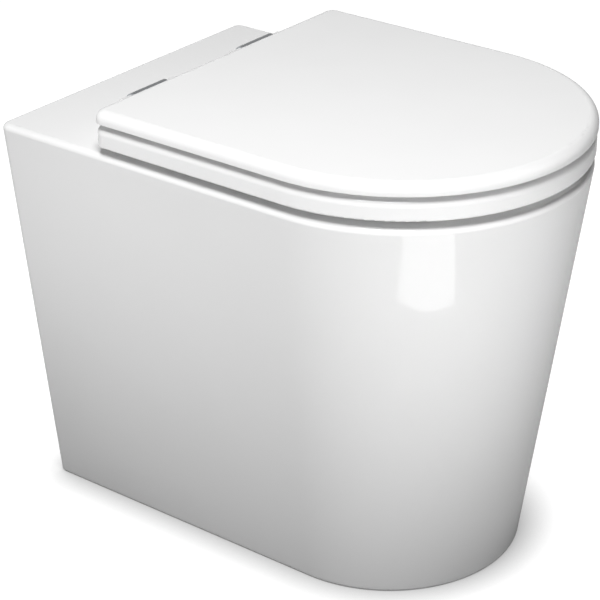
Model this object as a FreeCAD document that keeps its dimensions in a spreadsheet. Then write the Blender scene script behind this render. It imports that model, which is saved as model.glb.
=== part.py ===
import FreeCAD, Part
import math
import os
import re
import Sketcher

os.makedirs("parts", exist_ok=True)
doc = FreeCAD.newDocument("Toilet")

# A floor-standing, back-to-wall toilet pan with a seat and a lid on two damped hinges.
# X runs to the right seen from the front, Y back to the building's wall, Z up from the floor.
# The origin lies on the floor, under the middle of the pan. Millimetres and degrees.
SIZES = {
    # pan: outside
    "pan_width": 360,
    "pan_depth": 524,
    "pan_height": 406,
    "base_width": 263,
    "base_setback": 60,
    "pan_corner_radius": 10,
    "pan_edge_radius": 8,
    "rim_band": 8.5,
    "skirt_wall": 11,
    "deck_thickness": 16,
    "back_wall": 13,
    "back_flange": 30,
    "back_grind": 0.2,
    # pan: rim opening, flush ledge, bowl and sump
    "rim_width": 42,
    "rim_front": 45,
    "opening_setback": 152,
    "opening_edge_radius": 6,
    "bowl_corner_share": 0.79,
    "bowl_wall": 10,
    "ledge_drop": 76,
    "ledge_width": 9,
    "sump_width": 84,
    "sump_length": 85,
    "sump_setback": 290,
    # pan: trapway from the sump over the weir to the outlet
    "trap_bore": 76,
    "trap_wall": 9,
    "trap_bend": 55,
    "trap_climb_angle": 60,
    "dip_height": 98,
    "crest_height": 224,
    "outlet_height": 185,
    "outlet_setback": 20,
    "spigot_diameter": 102,
    "spigot_length": 42,
    # pan: flush inlet horn, and the rubber cone that joins it to the flush pipe
    "inlet_drop": 56,
    "inlet_bore": 42,
    "horn_diameter": 60,
    "horn_setback": 55,
    "cone_wall": 4,
    "cone_grip": 16,
    "cone_taper": 8,
    "flush_pipe_diameter": 50,
    "flush_pipe_grip": 18,
    "cone_clearance": 0.1,
    # seat
    "seat_setback": 123.5,
    "seat_inset": 1,
    "seat_gap": 7.5,
    "seat_thickness": 20.5,
    "seat_ring_width": 66,
    "seat_front_width": 58,
    "seat_rear_width": 68,
    "seat_corner_radius": 12,
    "seat_edge_radius": 8,
    "seat_inner_radius": 8,
    "seat_foot_radius": 2,
    # lid
    "lid_gap": 3.5,
    "lid_thickness": 12,
    "lid_plate": 6,
    "lid_rim_width": 10,
    "lid_corner_radius": 12,
    "lid_edge_radius": 9,
    # buffers under the seat and the lid
    "seat_buffer_diameter": 16,
    "seat_buffer_inset": 27,
    "lid_buffer_diameter": 10,
    "lid_buffer_inset": 32,
    "buffer_angle": 40,
    "buffer_rear_setback": 60,
    "buffer_edge": 1.5,
    "buffer_clearance": 0.25,
    "stem_diameter": 6,
    "stem_length": 4,
    "stem_clearance": 0.1,
    # hinges: the axis, the barrel on its pedestal, and the lugs of seat and lid
    "hinge_spacing": 161,
    "hinge_setback": 106,
    "axis_height": 23.5,
    "barrel_diameter": 16,
    "barrel_length": 48,
    "barrel_bore": 12.1,
    "pedestal_length": 38,
    "pedestal_depth": 15,
    "pedestal_corner": 3,
    "lug_diameter": 13,
    "lug_width": 12,
    "lug_gap": 0.4,
    "lug_root": 3,
    "arm_edge": 1.5,
    # hinges: damper cartridge and its square-ended shaft
    "damper_diameter": 12,
    "journal_diameter": 8,
    "journal_depth": 26,
    "journal_clearance": 0.05,
    "key_size": 6,
    "key_clearance": 0.1,
    "stub_recess": 0.5,
    # hinges: fixing through the deck
    "fixing_hole": 15,
    "gasket_thickness": 0.8,
    "gasket_margin": 1,
    "rosette_length": 46,
    "rosette_depth": 24,
    "rosette_thickness": 3.5,
    "rosette_corner": 5,
    "stud_diameter": 8,
    "stud_length": 62,
    "stud_clearance": 0.2,
    "collar_diameter": 11,
    "collar_thickness": 1.5,
    "pin_diameter": 7,
    "pin_top": 15,
    "pin_clearance": 0.15,
    "neck_diameter": 5,
    "sleeve_clearance": 0.2,
    "sleeve_bulge": 4,
    "sleeve_length": 36,
    "sleeve_taper": 5,
    "nut_diameter": 15,
    "nut_height": 11,
    "nut_clearance": 0.1,
    # hinges: release button, with the latch plate that holds the pin's neck
    "latch_height": 9,
    "latch_thickness": 2.6,
    "latch_width": 11,
    "latch_front": 8,
    "latch_clearance": 0.2,
    "button_travel": 3,
    "button_reach": 3.4,
    "button_height": 5,
    "button_length": 8,
    "button_stop": 0.3,
    "spring_diameter": 2.6,
    "spring_wire": 0.5,
    "spring_turns": 6,
    "spring_wall": 1.5,
    "spring_clearance": 0.2,
    # how far a cut runs past the face that it opens
    "overrun": 20,
}

# Two sections of the bowl between sump and ledge, from low to high. Each row is how far the
# section has gone from the sump to the ledge in height, width, rear wall and front wall.
BOWL_SHARES = [
    (0.37, 0.38, 0.11, 0.31),
    (0.58, 0.67, 0.33, 0.62),
]

# Places that several pieces share, written as formulas of the sizes.
BACK = "(pan_depth / 2)"
FRONT = "(-pan_depth / 2)"
ROUND_CENTRE = "(pan_width / 2 - pan_depth / 2)"
SEAT_REAR = "(pan_depth / 2 - seat_setback)"
SEAT_BASE = "(pan_height + seat_gap)"
SEAT_TOP = "(pan_height + seat_gap + seat_thickness)"
LID_BASE = "(pan_height + seat_gap + seat_thickness + lid_gap)"
LID_TOP = "(pan_height + seat_gap + seat_thickness + lid_gap + lid_thickness)"
HINGE_Y = "(pan_depth / 2 - hinge_setback)"
HINGE_Z = "(pan_height + axis_height)"
PLATE_TOP = "(gasket_thickness + rosette_thickness)"
LUG_INNER = "(hinge_spacing / 2 - barrel_length / 2 - lug_gap - lug_width)"
LUG_OUTER = "(hinge_spacing / 2 + barrel_length / 2 + lug_gap)"

V = FreeCAD.Vector
UP = V(0, 0, 1)
HALF_TURN = FreeCAD.Rotation(UP, 180)
BACKWARDS = FreeCAD.Rotation(V(1, 0, 0), -90)
SIDEWAYS = FreeCAD.Rotation(V(0, 1, 0), 90)
NEAR = 0.01
nodes = []

sheet = doc.addObject("Spreadsheet::Sheet", "Sizes")
for row, (alias, size) in enumerate(SIZES.items(), 1):
    sheet.set(f"A{row}", alias)
    sheet.set(f"B{row}", str(size))
    sheet.setAlias(f"B{row}", alias)
doc.recompute()


def link(formula):
    """Points each size named in a formula at its cell of the sheet."""
    return re.sub(r"[a-z_]+", lambda word: "Sizes." + word[0] if word[0] in SIZES else word[0], formula)


def measure(formula):
    return float(sheet.evalExpression(link(formula)))


def new_node(label, x="0", y="0", z="0", rotation=None):
    """A body of its own, placed in the pan's frame, which becomes one file."""
    body = doc.addObject("PartDesign::Body", label)
    body.Label = label
    body.Placement = FreeCAD.Placement(V(0, 0, 0), rotation or FreeCAD.Rotation())
    for axis, formula in zip("xyz", (x, y, z)):
        body.setExpression(f"Placement.Base.{axis}", link(formula))
    nodes.append(body)
    return body


def new_sketch(body, name, role, offset="0"):
    sketch = body.newObject("Sketcher::SketchObject", name)
    plane = next(item for item in body.Origin.OriginFeatures if item.Role == role)
    sketch.AttachmentSupport = [(plane, "")]
    sketch.MapMode = "FlatFace"
    sketch.setExpression("AttachmentOffset.Base.z", link(offset))
    return sketch


def bind(sketch, name, formula, *constraint):
    """Adds a dimension to a sketch and ties it to the sheet."""
    index = sketch.addConstraint(Sketcher.Constraint(*constraint, measure(formula)))
    sketch.renameConstraint(index, name)
    sketch.setExpression(f"Constraints.{name}", link(formula))


def polygon(body, name, role, offset, points):
    """A closed outline of straight edges, each corner dimensioned from the sketch's origin."""
    sketch = new_sketch(body, name, role, offset)
    corners = [V(measure(x), measure(y), 0) for x, y in points]
    for start, end in zip(corners, corners[1:] + corners[:1]):
        sketch.addGeometry(Part.LineSegment(start, end), False)
    for index in range(len(points)):
        following = (index + 1) % len(points)
        sketch.addConstraint(Sketcher.Constraint("Coincident", index, 2, following, 1))
    for index, (x, y) in enumerate(points):
        bind(sketch, f"across_{index}", x, "DistanceX", -1, 1, index, 1)
        bind(sketch, f"along_{index}", y, "DistanceY", -1, 1, index, 1)
    return sketch


def rectangle(body, name, role, offset, low, high):
    (left, bottom), (right, top) = low, high
    corners = [(left, bottom), (right, bottom), (right, top), (left, top)]
    return polygon(body, name, role, offset, corners)


def circles(body, name, role, offset, radius, centres):
    """One or more equal circles."""
    sketch = new_sketch(body, name, role, offset)
    for index, (x, y) in enumerate(centres):
        centre = V(measure(x), measure(y), 0)
        sketch.addGeometry(Part.Circle(centre, UP, measure(radius)), False)
        bind(sketch, f"radius_{index}", radius, "Radius", index)
        bind(sketch, f"across_{index}", x, "DistanceX", -1, 1, index, 3)
        bind(sketch, f"along_{index}", y, "DistanceY", -1, 1, index, 3)
    return sketch


def d_outline(body, name, height, half_width, front, back, corner):
    """A level outline with a half-round front, straight sides and a square back with round corners."""
    sketch = new_sketch(body, name, "XY_Plane", height)
    a, f, b, c = [measure(formula) for formula in (half_width, front, back, corner)]
    sketch.addGeometry(Part.LineSegment(V(a, b - c, 0), V(a, f + a, 0)), False)
    sketch.addGeometry(Part.ArcOfCircle(Part.Circle(V(0, f + a, 0), UP, a), math.pi, 2 * math.pi), False)
    sketch.addGeometry(Part.LineSegment(V(-a, f + a, 0), V(-a, b - c, 0)), False)
    sketch.addGeometry(Part.ArcOfCircle(Part.Circle(V(c - a, b - c, 0), UP, c), math.pi / 2, math.pi), False)
    sketch.addGeometry(Part.LineSegment(V(c - a, b, 0), V(a - c, b, 0)), False)
    sketch.addGeometry(Part.ArcOfCircle(Part.Circle(V(a - c, b - c, 0), UP, c), 0, math.pi / 2), False)
    right, front_arc, left, left_corner, rear, right_corner = range(6)
    for joint in [(right, 2, front_arc, 2), (front_arc, 1, left, 1), (left, 2, left_corner, 2),
                  (left_corner, 1, rear, 1), (rear, 2, right_corner, 2), (right_corner, 1, right, 1)]:
        sketch.addConstraint(Sketcher.Constraint("Tangent", *joint))
    sketch.addConstraint(Sketcher.Constraint("Vertical", right))
    sketch.addConstraint(Sketcher.Constraint("Vertical", left))
    sketch.addConstraint(Sketcher.Constraint("Horizontal", rear))
    sketch.addConstraint(Sketcher.Constraint("PointOnObject", front_arc, 3, -2))
    sketch.addConstraint(Sketcher.Constraint("Equal", left_corner, right_corner))
    bind(sketch, "half_width", half_width, "Radius", front_arc)
    bind(sketch, "corner", corner, "Radius", right_corner)
    bind(sketch, "round_centre", f"({front}) + ({half_width})", "DistanceY", -1, 1, front_arc, 3)
    bind(sketch, "back", back, "DistanceY", -1, 1, rear, 1)
    return sketch


def add(body, kind, name, profile, **options):
    """Adds a PartDesign feature. Text options are formulas, the rest plain properties."""
    before = body.Tip.Shape.Volume if body.Tip else 0
    feature = body.newObject(f"PartDesign::{kind}", name)
    feature.Profile = profile
    for option, setting in options.items():
        if isinstance(setting, str):
            feature.setExpression(option, link(setting))
        else:
            setattr(feature, option, setting)
    doc.recompute()
    if abs(feature.Shape.Volume - before) < NEAR:
        raise RuntimeError(f"{body.Label}: {name} changes nothing")
    return feature


def revolve(body, name, points):
    """Turns a profile of (radius, height) points about the body's Z axis."""
    sketch = polygon(body, f"{name}_profile", "XZ_Plane", "0", points)
    return add(body, "Revolution", name, sketch, ReferenceAxis=(sketch, ["V_Axis"]))


def fillet(body, name, radius, chosen):
    """Rounds the edges of the body that the given test picks."""
    doc.recompute()
    base = body.Tip
    edges = [f"Edge{i}" for i, edge in enumerate(base.Shape.Edges, 1) if chosen(edge)]
    feature = body.newObject("PartDesign::Fillet", name)
    feature.Base = (base, edges)
    feature.setExpression("Radius", link(radius))
    doc.recompute()
    return feature


def level_at(height, front=FRONT, back=BACK):
    """A test for edges that lie in one level plane, between two places in depth."""
    level, low, high = measure(height), measure(front) - NEAR, measure(back) + NEAR

    def test(edge):
        box = edge.BoundBox
        flat = abs(box.ZMin - level) < NEAR and abs(box.ZMax - level) < NEAR
        return flat and box.YMin > low and box.YMax < high

    return test


def upright(edge):
    return edge.BoundBox.XLength < NEAR and edge.BoundBox.YLength < NEAR


def between(low, high, share):
    return f"(({low}) + {share} * (({high}) - ({low})))"


# Pan: vitreous china, cast in six pieces that are stuck together with slip and fired as one. The
# skirt and the deck are tapered together, and their backs are ground flat along the wall.
ROOF = "(pan_height - deck_thickness)"
TAPER = "(pan_height - deck_thickness) / (pan_height - rim_band)"
ROOF_HALF_WIDTH = f"((base_width + (pan_width - base_width) * {TAPER}) / 2)"
ROOF_FRONT = f"({FRONT} + base_setback * (1 - {TAPER}))"
HOLLOW_BACK = f"({BACK} - back_wall)"


def pan_outline(body, name, height, half_width, front, back=f"{BACK} + back_grind"):
    return d_outline(body, name, height, half_width, front, back, "pan_corner_radius")


def grind_back(body):
    slab = rectangle(body, "ground_slab", "XY_Plane", "-overrun", ("-pan_width", BACK),
                     ("pan_width", f"{BACK} + overrun"))
    add(body, "Pocket", "ground_back", slab, Length="pan_height + 2 * overrun", Reversed=True)


# Skirt: the tapered wall, open below and at the back.
skirt = new_node("pan_skirt")
foot = pan_outline(skirt, "foot_outline", "0", "base_width / 2", f"{FRONT} + base_setback")
shoulder = pan_outline(skirt, "shoulder_outline", ROOF, ROOF_HALF_WIDTH, ROOF_FRONT)
add(skirt, "AdditiveLoft", "wall", foot, Sections=[shoulder], Ruled=True)
grind_back(skirt)
hollow_foot = pan_outline(skirt, "hollow_foot", "-overrun", "base_width / 2 - skirt_wall",
                          f"{FRONT} + base_setback + skirt_wall", HOLLOW_BACK)
hollow_roof = pan_outline(skirt, "hollow_roof", f"{ROOF} + overrun", f"{ROOF_HALF_WIDTH} - skirt_wall",
                          f"{ROOF_FRONT} + skirt_wall", HOLLOW_BACK)
add(skirt, "SubtractiveLoft", "hollow", hollow_foot, Sections=[hollow_roof], Ruled=True)
back_opening = polygon(skirt, "back_outline", "XZ_Plane", f"-{HOLLOW_BACK}", [
    ("back_flange - base_width / 2", "-overrun"),
    ("base_width / 2 - back_flange", "-overrun"),
    ("base_width / 2 - back_flange", "0"),
    (f"{ROOF_HALF_WIDTH} - back_flange", ROOF),
    (f"{ROOF_HALF_WIDTH} - back_flange", f"{ROOF} + overrun"),
    (f"back_flange - {ROOF_HALF_WIDTH}", f"{ROOF} + overrun"),
    (f"back_flange - {ROOF_HALF_WIDTH}", ROOF),
    ("back_flange - base_width / 2", "0"),
])
add(skirt, "Pocket", "back_opening", back_opening, Length="back_wall + overrun")

# The bowl's sections as (height, half width, front, rear), from the sump's floor to the ledge.
OPENING_HALF = "(pan_width / 2 - rim_width)"
OPENING_FRONT = f"({FRONT} + rim_front)"
OPENING_REAR = f"({BACK} - opening_setback)"
rim_opening = [OPENING_HALF, OPENING_FRONT, OPENING_REAR]
LEDGE = "(pan_height - ledge_drop)"
INLET = "(pan_height - inlet_drop)"
sump = ["(dip_height - trap_bore / 2)", "(sump_width / 2)",
        f"({BACK} - sump_setback - sump_length)", f"({BACK} - sump_setback)"]
ledge = [LEDGE, f"({OPENING_HALF} - ledge_width)",
         f"({OPENING_FRONT} + ledge_width)", f"({OPENING_REAR} - ledge_width)"]
middle = []
for height_share, width_share, rear_share, front_share in BOWL_SHARES:
    shares = (height_share, width_share, front_share, rear_share)
    middle.append([between(low, high, share) for low, high, share in zip(sump, ledge, shares)])
bowl_sections = [sump, *middle, ledge]


def bowl_outline(body, name, section, wall="0"):
    """One section of the bowl, grown by a wall. The rear corners keep within its length."""
    height, half_width, front, rear = section
    half = f"({half_width} + {wall})"
    room = f"({rear} - {front} - {half_width} + {wall})"
    return d_outline(body, name, height, half, f"{front} - {wall}", f"{rear} + {wall}",
                     f"bowl_corner_share * min({half}; {room})")


def bowl_loft(body, kind, name, wall="0", drop="0"):
    """The bowl's inside, or with a wall its outside, whose floor lies lower."""
    floor = [f"({sump[0]} - {drop})", *sump[1:]]
    outlines = [bowl_outline(body, f"{name}_{i}", section, wall)
                for i, section in enumerate([floor, *bowl_sections[1:]])]
    add(body, kind, name, outlines[0], Sections=outlines[1:])


# Deck: the flat top with the rim round the opening, and two holes for the hinges.
deck = new_node("pan_deck")
underside = pan_outline(deck, "underside_outline", ROOF, ROOF_HALF_WIDTH, ROOF_FRONT)
rim = pan_outline(deck, "rim_outline", "pan_height - rim_band", "pan_width / 2", FRONT)
add(deck, "AdditiveLoft", "plate", underside, Sections=[rim], Ruled=True)
add(deck, "Pad", "rim", rim, Length="rim_band")
fillet(deck, "deck_edge", "pan_edge_radius", level_at("pan_height", FRONT, f"{BACK} + back_grind"))
grind_back(deck)
mouth = bowl_outline(deck, "mouth_outline", ["pan_height", *rim_opening])
add(deck, "Pocket", "mouth", mouth, Length="deck_thickness + overrun")
hinge_places = [("-hinge_spacing / 2", HINGE_Y), ("hinge_spacing / 2", HINGE_Y)]
holes = circles(deck, "fixing_holes", "XY_Plane", "pan_height", "fixing_hole / 2", hinge_places)
add(deck, "Pocket", "hinge_holes", holes, Length="deck_thickness + overrun")
fillet(deck, "mouth_edge", "opening_edge_radius", level_at("pan_height", OPENING_FRONT, OPENING_REAR))

# The trapway's line dips below the water, climbs over the weir and falls to the outlet.
OUTLET_Y = f"({BACK} - outlet_setback - spigot_length)"
TRAP_START_Y = f"({BACK} - sump_setback - sump_length / 2)"


def trap_line(body):
    path = new_sketch(body, "trap_line", "YZ_Plane")
    bend, climb = measure("trap_bend"), math.radians(measure("trap_climb_angle"))
    dip, crest, outlet = [measure(name) for name in ("dip_height", "crest_height", "outlet_height")]
    fall = math.acos(1 - (crest - outlet) / (2 * bend))
    end_y = measure(OUTLET_Y)
    crest_y = end_y - 2 * bend * math.sin(fall)
    rise = crest - dip - 2 * bend * (1 - math.cos(climb))
    dip_y = crest_y - 2 * bend * math.sin(climb) - rise / math.tan(climb)
    up_centre, over_centre = V(dip_y, dip + bend, 0), V(crest_y, crest - bend, 0)
    down_centre = V(end_y, outlet + bend, 0)
    low_turn = up_centre + V(math.sin(climb), -math.cos(climb), 0) * bend
    high_turn = over_centre + V(-math.sin(climb), math.cos(climb), 0) * bend
    quarter = math.pi / 2
    arcs = [(up_centre, -quarter, climb - quarter), (over_centre, quarter - fall, quarter + climb),
            (down_centre, -quarter - fall, -quarter)]
    path.addGeometry(Part.LineSegment(V(measure(TRAP_START_Y), dip, 0), V(dip_y, dip, 0)), False)
    path.addGeometry(Part.LineSegment(low_turn, high_turn), False)
    for centre, start, stop in arcs:
        path.addGeometry(Part.ArcOfCircle(Part.Circle(centre, UP, bend), start, stop), False)
    in_line, climb_line, up_arc, over_arc, down_arc = range(5)
    for joint in [(in_line, 2, up_arc, 1), (up_arc, 2, climb_line, 1), (climb_line, 2, over_arc, 2),
                  (over_arc, 1, down_arc, 1)]:
        path.addConstraint(Sketcher.Constraint("Tangent", *joint))
    path.addConstraint(Sketcher.Constraint("Horizontal", in_line))
    path.addConstraint(Sketcher.Constraint("Vertical", down_arc, 2, down_arc, 3))
    path.addConstraint(Sketcher.Constraint("Equal", up_arc, over_arc))
    path.addConstraint(Sketcher.Constraint("Equal", up_arc, down_arc))
    bind(path, "bend", "trap_bend", "Radius", up_arc)
    bind(path, "start", TRAP_START_Y, "DistanceX", -1, 1, in_line, 1)
    bind(path, "dip", "dip_height", "DistanceY", -1, 1, in_line, 1)
    bind(path, "weir", "crest_height - trap_bend", "DistanceY", -1, 1, over_arc, 3)
    bind(path, "outlet_end", OUTLET_Y, "DistanceX", -1, 1, down_arc, 2)
    bind(path, "outlet", "outlet_height", "DistanceY", -1, 1, down_arc, 2)
    angle = path.addConstraint(Sketcher.Constraint("Angle", climb_line, climb))
    path.renameConstraint(angle, "climb")
    path.setExpression("Constraints.climb", link("trap_climb_angle * 1 deg"))
    return path


def trap_pipe(body, kind, name, path, radius):
    start = circles(body, f"{name}_start", "XZ_Plane", f"-{TRAP_START_Y}", radius, [("0", "dip_height")])
    add(body, kind, name, start, Spine=path)


# Bowl: a collar under the deck, then the ledge that leads the flush round, the bowl and the sump.
bowl = new_node("bowl")
collar = bowl_outline(bowl, "collar_outline", [f"({LEDGE} - bowl_wall)", *rim_opening], "bowl_wall")
add(bowl, "Pad", "collar", collar, Length="ledge_drop + bowl_wall - deck_thickness")
bowl_loft(bowl, "AdditiveLoft", "shell", "bowl_wall", "bowl_wall")
bowl_loft(bowl, "SubtractiveLoft", "hollow")
throat = bowl_outline(bowl, "throat_outline", [ROOF, *rim_opening])
add(bowl, "Pocket", "throat", throat, Length="ledge_drop - deck_thickness")
trap_pipe(bowl, "SubtractivePipe", "trap_mouth", trap_line(bowl), "trap_bore / 2")
inlet = circles(bowl, "inlet_outline", "XZ_Plane", f"-({OPENING_REAR} + bowl_wall)", "inlet_bore / 2",
                [("0", INLET)])
add(bowl, "Pocket", "inlet_mouth", inlet, Length="bowl_wall + ledge_width", Reversed=True)

# Trapway: a bent pipe from the sump's rear wall over the weir, and the spigot that it ends in.
trapway = new_node("trapway")
trap_centre = trap_line(trapway)
trap_pipe(trapway, "AdditivePipe", "pipe", trap_centre, "trap_bore / 2 + trap_wall")
bowl_loft(trapway, "SubtractiveLoft", "bowl_side", "bowl_wall", "bowl_wall")
trap_pipe(trapway, "SubtractivePipe", "passage", trap_centre, "trap_bore / 2")
spigot = new_node("outlet_spigot", "0", OUTLET_Y, "outlet_height", BACKWARDS)
revolve(spigot, "spigot", [
    ("trap_bore / 2", "0"),
    ("spigot_diameter / 2", "0"),
    ("spigot_diameter / 2", "spigot_length"),
    ("trap_bore / 2", "spigot_length"),
])

# Inlet horn: the stub at the back of the collar, through which the flush comes in.
horn = new_node("inlet_horn", "0", f"{OPENING_REAR} + bowl_wall", INLET, BACKWARDS)
HORN_LENGTH = "opening_setback - bowl_wall - horn_setback"
revolve(horn, "horn", [
    ("inlet_bore / 2", "0"),
    ("horn_diameter / 2", "0"),
    ("horn_diameter / 2", HORN_LENGTH),
    ("inlet_bore / 2", HORN_LENGTH),
])

# Flush cone: a rubber sleeve stretched over the inlet horn. Its neck grips the flush pipe.
flush_cone = new_node("flush_cone", "0", f"{BACK} - horn_setback", INLET, BACKWARDS)
HORN_FIT = "horn_diameter / 2 + cone_clearance"
PIPE_RADIUS = "flush_pipe_diameter / 2"
revolve(flush_cone, "sleeve", [
    (HORN_FIT, "-cone_grip"),
    (f"{HORN_FIT} + cone_wall", "-cone_grip"),
    (f"{HORN_FIT} + cone_wall", "0"),
    (f"{PIPE_RADIUS} + cone_wall", "cone_taper"),
    (f"{PIPE_RADIUS} + cone_wall", "cone_taper + flush_pipe_grip"),
    (PIPE_RADIUS, "cone_taper + flush_pipe_grip"),
    (PIPE_RADIUS, "cone_clearance"),
    (HORN_FIT, "cone_clearance"),
])


def lug(body, name, x, arm):
    """A pair of hinge lugs on arms, mirrored left and right, from an arm outline in the YZ plane."""
    for side, start in (("left", f"-{x} - lug_width"), ("right", x)):
        outline = polygon(body, f"{name}_arm_{side}", "YZ_Plane", start, arm)
        add(body, "Pad", f"{name}_arm_pad_{side}", outline, Length="lug_width")
        eye = circles(body, f"{name}_eye_{side}", "YZ_Plane", start, "lug_diameter / 2", [(HINGE_Y, HINGE_Z)])
        add(body, "Pad", f"{name}_eye_pad_{side}", eye, Length="lug_width")


def lug_hole(body, name, start, keyed):
    """The hole of one lug: square for a damper's shaft, or round for a damper's stub."""
    end = f"{start} + lug_width"
    if keyed:
        half = "(key_size / 2 + key_clearance)"
        low = (f"{HINGE_Y} - {half}", f"{HINGE_Z} - {half}")
        high = (f"{HINGE_Y} + {half}", f"{HINGE_Z} + {half}")
        outline = rectangle(body, f"{name}_outline", "YZ_Plane", end, low, high)
    else:
        outline = circles(body, f"{name}_outline", "YZ_Plane", end,
                          "journal_diameter / 2 + journal_clearance", [(HINGE_Y, HINGE_Z)])
    add(body, "Pocket", name, outline, Length="lug_width")


def buffer_places(inset):
    """Two places on the round front and two near the back, at an inset from the pan's side."""
    reach = f"(pan_width / 2 - {inset})"
    across = f"{reach} * sin(buffer_angle)"
    front = f"{ROUND_CENTRE} - {reach} * cos(buffer_angle)"
    rear = f"{SEAT_REAR} - buffer_rear_setback"
    return {"front_left": (f"-{across}", front), "front_right": (across, front),
            "rear_left": (f"-{reach}", rear), "rear_right": (reach, rear)}


def buffers(name, diameter, places, base, height):
    """Rubber feet with a stem that plugs into the piece above."""
    for place, (x, y) in places.items():
        body = new_node(f"{name}_{place}", x, y, base)
        revolve(body, "foot", [
            ("0", "0"),
            (f"{diameter} / 2 - buffer_edge", "0"),
            (f"{diameter} / 2", "buffer_edge"),
            (f"{diameter} / 2", height),
            ("stem_diameter / 2", height),
            ("stem_diameter / 2", f"{height} + stem_length"),
            ("0", f"{height} + stem_length"),
        ])


# Seat: a pressed duroplast ring. Two lugs at its back turn on the inner ends of the hinges.
seat = new_node("seat")
SEAT_HALF = "(pan_width / 2 - seat_inset)"
outline = d_outline(seat, "seat_outline", SEAT_BASE, SEAT_HALF, f"{FRONT} + seat_inset", SEAT_REAR,
                    "seat_corner_radius")
add(seat, "Pad", "ring", outline, Length="seat_thickness")
fillet(seat, "ring_edge", "seat_edge_radius", level_at(SEAT_TOP))
HOLE_HALF = "(pan_width / 2 - seat_ring_width)"
HOLE_FRONT = f"({FRONT} + seat_front_width)"
HOLE_REAR = f"({SEAT_REAR} - seat_rear_width)"
hole = bowl_outline(seat, "hole_outline", [SEAT_TOP, HOLE_HALF, HOLE_FRONT, HOLE_REAR])
add(seat, "Pocket", "ring_hole", hole, Length="seat_thickness")
fillet(seat, "hole_edge", "seat_inner_radius", level_at(SEAT_TOP, HOLE_FRONT, HOLE_REAR))
fillet(seat, "ring_foot", "seat_foot_radius", level_at(SEAT_BASE))
lug(seat, "seat", LUG_INNER, [
    (HINGE_Y, f"{HINGE_Z} - lug_diameter / 2"),
    (HINGE_Y, f"{HINGE_Z} + lug_diameter / 2"),
    (f"{SEAT_REAR} - lug_root", f"{SEAT_TOP} - seat_edge_radius / 2"),
    (f"{SEAT_REAR} - lug_root", f"{SEAT_BASE} + arm_edge"),
])
lug_hole(seat, "stub_hole", f"-{LUG_INNER} - lug_width", keyed=False)
lug_hole(seat, "key_hole", LUG_INNER, keyed=True)
seat_feet = buffer_places("seat_buffer_inset")
sockets = circles(seat, "buffer_sockets", "XY_Plane", SEAT_BASE, "stem_diameter / 2 + stem_clearance",
                  list(seat_feet.values()))
add(seat, "Pocket", "buffer_holes", sockets, Length="stem_length + stem_clearance", Reversed=True)
buffers("seat_buffer", "seat_buffer_diameter", seat_feet, "pan_height + buffer_clearance",
        "(seat_gap - buffer_clearance)")

# Lid: a pressed duroplast cover, hollow below. Its lugs turn on the outer ends of the hinges.
lid = new_node("lid")
outline = d_outline(lid, "lid_outline", LID_BASE, "pan_width / 2", FRONT, SEAT_REAR, "lid_corner_radius")
add(lid, "Pad", "cover", outline, Length="lid_thickness")
fillet(lid, "cover_edge", "lid_edge_radius", level_at(LID_TOP))
recess = d_outline(lid, "recess_outline", LID_BASE, "pan_width / 2 - lid_rim_width",
                   f"{FRONT} + lid_rim_width", f"{SEAT_REAR} - lid_rim_width", "lid_corner_radius")
add(lid, "Pocket", "recess", recess, Length="lid_thickness - lid_plate", Reversed=True)
lug(lid, "lid", LUG_OUTER, [
    (HINGE_Y, f"{HINGE_Z} - lug_diameter / 2"),
    (HINGE_Y, f"{HINGE_Z} + lug_diameter / 2"),
    (f"{SEAT_REAR} - lug_root", f"{LID_BASE} + lid_plate"),
    (f"{SEAT_REAR} - lug_root", f"{LID_BASE} + arm_edge"),
])
lug_hole(lid, "stub_hole_lid", LUG_OUTER, keyed=False)
lug_hole(lid, "key_hole_lid", f"-{LUG_OUTER} - lug_width", keyed=True)
lid_feet = buffer_places("lid_buffer_inset")
sockets = circles(lid, "lid_sockets", "XY_Plane", f"{LID_TOP} - lid_plate",
                  "stem_diameter / 2 + stem_clearance", list(lid_feet.values()))
add(lid, "Pocket", "lid_buffer_holes", sockets, Length="stem_length + stem_clearance", Reversed=True)
buffers("lid_buffer", "lid_buffer_diameter", lid_feet, f"{SEAT_TOP} + buffer_clearance",
        "(lid_gap + lid_thickness - lid_plate - buffer_clearance)")

LATCH_MIDDLE = "(latch_height + latch_clearance + latch_thickness / 2)"
LATCH_TOP = "(latch_height + latch_thickness + 2 * latch_clearance)"
LATCH_HALF = "(latch_width / 2)"
PEDESTAL_END = "(pedestal_length / 2)"
SLOT_END = "(pedestal_length / 2 - spring_wall)"
BUTTON_FACE = "(pedestal_length / 2 + button_reach)"
BUTTON_BACK = "(pedestal_length / 2 + button_reach - button_length)"
STUD_FIT = "(stud_diameter / 2 + stud_clearance)"
SLEEVE_RADIUS = "(fixing_hole / 2 - sleeve_clearance)"
PIN_FIT = "(pin_diameter / 2 + pin_clearance)"
NECK_FIT = "(neck_diameter / 2 + pin_clearance)"


def flat_plate(body, name, base, thickness, half_length, half_depth):
    """A level plate with round corners, bored for the fixing stud."""
    low = (f"-({half_length})", f"-({half_depth})")
    high = (half_length, half_depth)
    add(body, "Pad", name, rectangle(body, f"{name}_outline", "XY_Plane", base, low, high), Length=thickness)
    fillet(body, f"{name}_corners", "rosette_corner", upright)
    bore = circles(body, f"{name}_bore", "XY_Plane", f"{base} + {thickness}", STUD_FIT, [("0", "0")])
    add(body, "Pocket", f"{name}_hole", bore, Length=thickness)


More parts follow.
